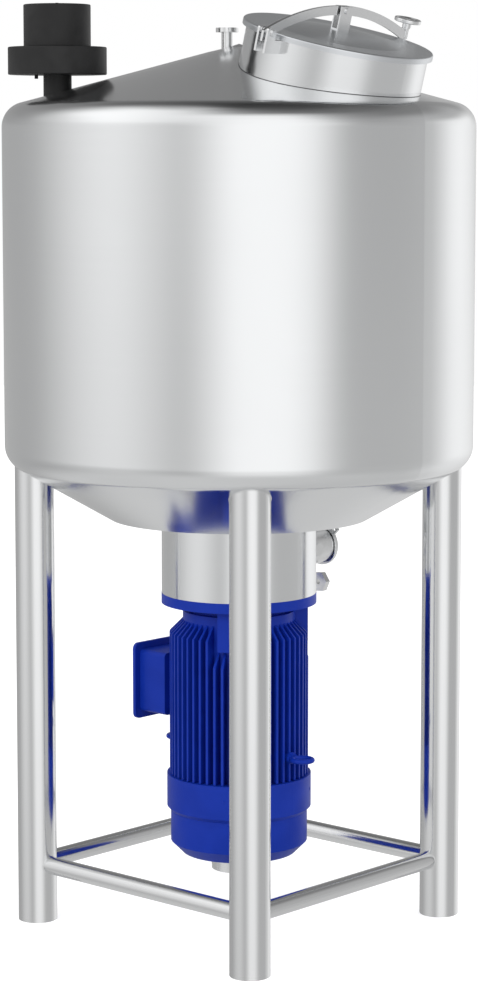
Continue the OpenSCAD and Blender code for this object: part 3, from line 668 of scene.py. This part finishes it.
roof_peak = MANWAY_FOOT + MANWAY_REACH * math.tan(ROOF_SLOPE)
down_slope = Vector((math.cos(ROOF_SLOPE), 0.0, -math.sin(ROOF_SLOPE)))
out_of_roof = Vector((math.sin(ROOF_SLOPE), 0.0, math.cos(ROOF_SLOPE)))
seam_loop = []
for turn in circle_turns(2 * LOOP_POINTS):
    spot = Vector((MANWAY_REACH, 0.0, MANWAY_FOOT))
    spot += NECK_RADIUS * (down_slope * math.cos(turn) + Vector((0.0, 1.0, 0.0)) * math.sin(turn))
    for step in range(12):
        over = spot.z - (roof_peak - math.hypot(spot.x, spot.y) * math.tan(ROOF_SLOPE))
        spot -= out_of_roof * over
    seam_loop.append(tuple(spot))
# Near-black steel for the seam bead: painted shade standing in for the shadow in the gap round the neck.
finishes["seam_painted_shade_steel"] = steel(
    "seam_painted_shade_steel", (90.0, 90.0, 90.0), 0.35, 0.45, (0.11, 0.11, 0.115), (0.18, 0.18, 0.185), 0.00002
)
grow(
    "neck_seam", closed_lines("neck_seam", [seam_loop]), bead_tree, BEAD_KEYS, "vessel",
    Bead_Radius=SEAM_BEAD, Sides=BEAD_SIDES, Finish=finishes["seam_painted_shade_steel"],
)
print("seam from", round(min(p[2] for p in seam_loop), 4), "to", round(max(p[2] for p in seam_loop), 4))

# %% [markdown]
# ## Screws
# Small screws hold the terminal box's cover and the fan cowl. Each is a low head with a chamfer,
# and they all come from one tree: it sets a head on every point it is given and turns it to face
# the way that point says.

# %% A tree that sets screw heads on points
screw_tree, begin, end, SCREW_KEYS = shape_tree(
    "heads_on_points",
    [("Head Radius", "NodeSocketFloat"), ("Head Height", "NodeSocketFloat"), ("Corners", "NodeSocketInt"),
     ("Finish", "NodeSocketMaterial")],
)
spots = new_node(screw_tree, "GeometryNodeMeshToPoints")
head = new_node(screw_tree, "GeometryNodeMeshCone")
narrower = math_node(screw_tree, "MULTIPLY", begin.outputs["Head Radius"], 0.82)
facing = new_node(screw_tree, "GeometryNodeInputNamedAttribute", data_type="FLOAT_VECTOR")
facing.inputs["Name"].default_value = "facing"
turned_head = new_node(screw_tree, "FunctionNodeAlignRotationToVector", axis="Z")
placed = new_node(screw_tree, "GeometryNodeInstanceOnPoints")
screw_tree.links.new(begin.outputs["Geometry"], spots.inputs["Mesh"])
screw_tree.links.new(begin.outputs["Corners"], head.inputs["Vertices"])
screw_tree.links.new(begin.outputs["Head Radius"], head.inputs["Radius Bottom"])
screw_tree.links.new(narrower, head.inputs["Radius Top"])
screw_tree.links.new(begin.outputs["Head Height"], head.inputs["Depth"])
screw_tree.links.new(facing.outputs["Attribute"], turned_head.inputs["Vector"])
screw_tree.links.new(spots.outputs["Points"], placed.inputs["Points"])
screw_tree.links.new(head.outputs["Mesh"], placed.inputs["Instance"])
screw_tree.links.new(turned_head.outputs["Rotation"], placed.inputs["Rotation"])
close_tree(screw_tree, placed.outputs["Instances"], begin.outputs["Finish"], end)
print("tree:", screw_tree.name, sorted(SCREW_KEYS))


# %% Set the screws
def facing_points(name, spots_and_ways):
    """A mesh of single points, each with the way that its screw faces."""
    mesh = bpy.data.meshes.new(name)
    mesh.from_pydata([tuple(spot) for spot, way in spots_and_ways], [], [])
    ways = mesh.attributes.new("facing", "FLOAT_VECTOR", "POINT")
    for item, (spot, way) in zip(ways.data, spots_and_ways):
        item.vector = way
    return mesh


SCREW_INSET = 0.012
SCREW_RADIUS = 0.0042
SCREW_HEIGHT = 0.0026
COWL_SCREW_HEIGHT = 0.307
COWL_SCREW_TURN = -59.7
COWL_SCREW_RADIUS = 0.0032

centre, half = middle_of("terminal_cover")
cover_spots = [
    (Vector((centre.x - half.x, centre.y + sy * (half.y - SCREW_INSET), centre.z + sz * (half.z - SCREW_INSET))),
     (-1.0, 0.0, 0.0))
    for sy in (-1, 1) for sz in (-1, 1)
]
grow(
    "cover_screws", facing_points("cover_screws", cover_spots), screw_tree, SCREW_KEYS, "vessel",
    Head_Radius=SCREW_RADIUS, Head_Height=SCREW_HEIGHT, Corners=20, Finish=finishes["fittings_steel"],
)
shield_radius = middle_of("end_shield")[1].x
cowl_spots = []
for quarter in range(4):
    turn = math.radians(COWL_SCREW_TURN + 90.0 * quarter)
    way = Vector((math.cos(turn), math.sin(turn), 0.0))
    cowl_spots.append((way * shield_radius + Vector((0.0, 0.0, COWL_SCREW_HEIGHT)), tuple(way)))
grow(
    "shield_screws", facing_points("shield_screws", cowl_spots), screw_tree, SCREW_KEYS, "vessel",
    Head_Radius=COWL_SCREW_RADIUS, Head_Height=SCREW_HEIGHT / 2.0, Corners=20, Finish=finishes["motor_enamel"],
)
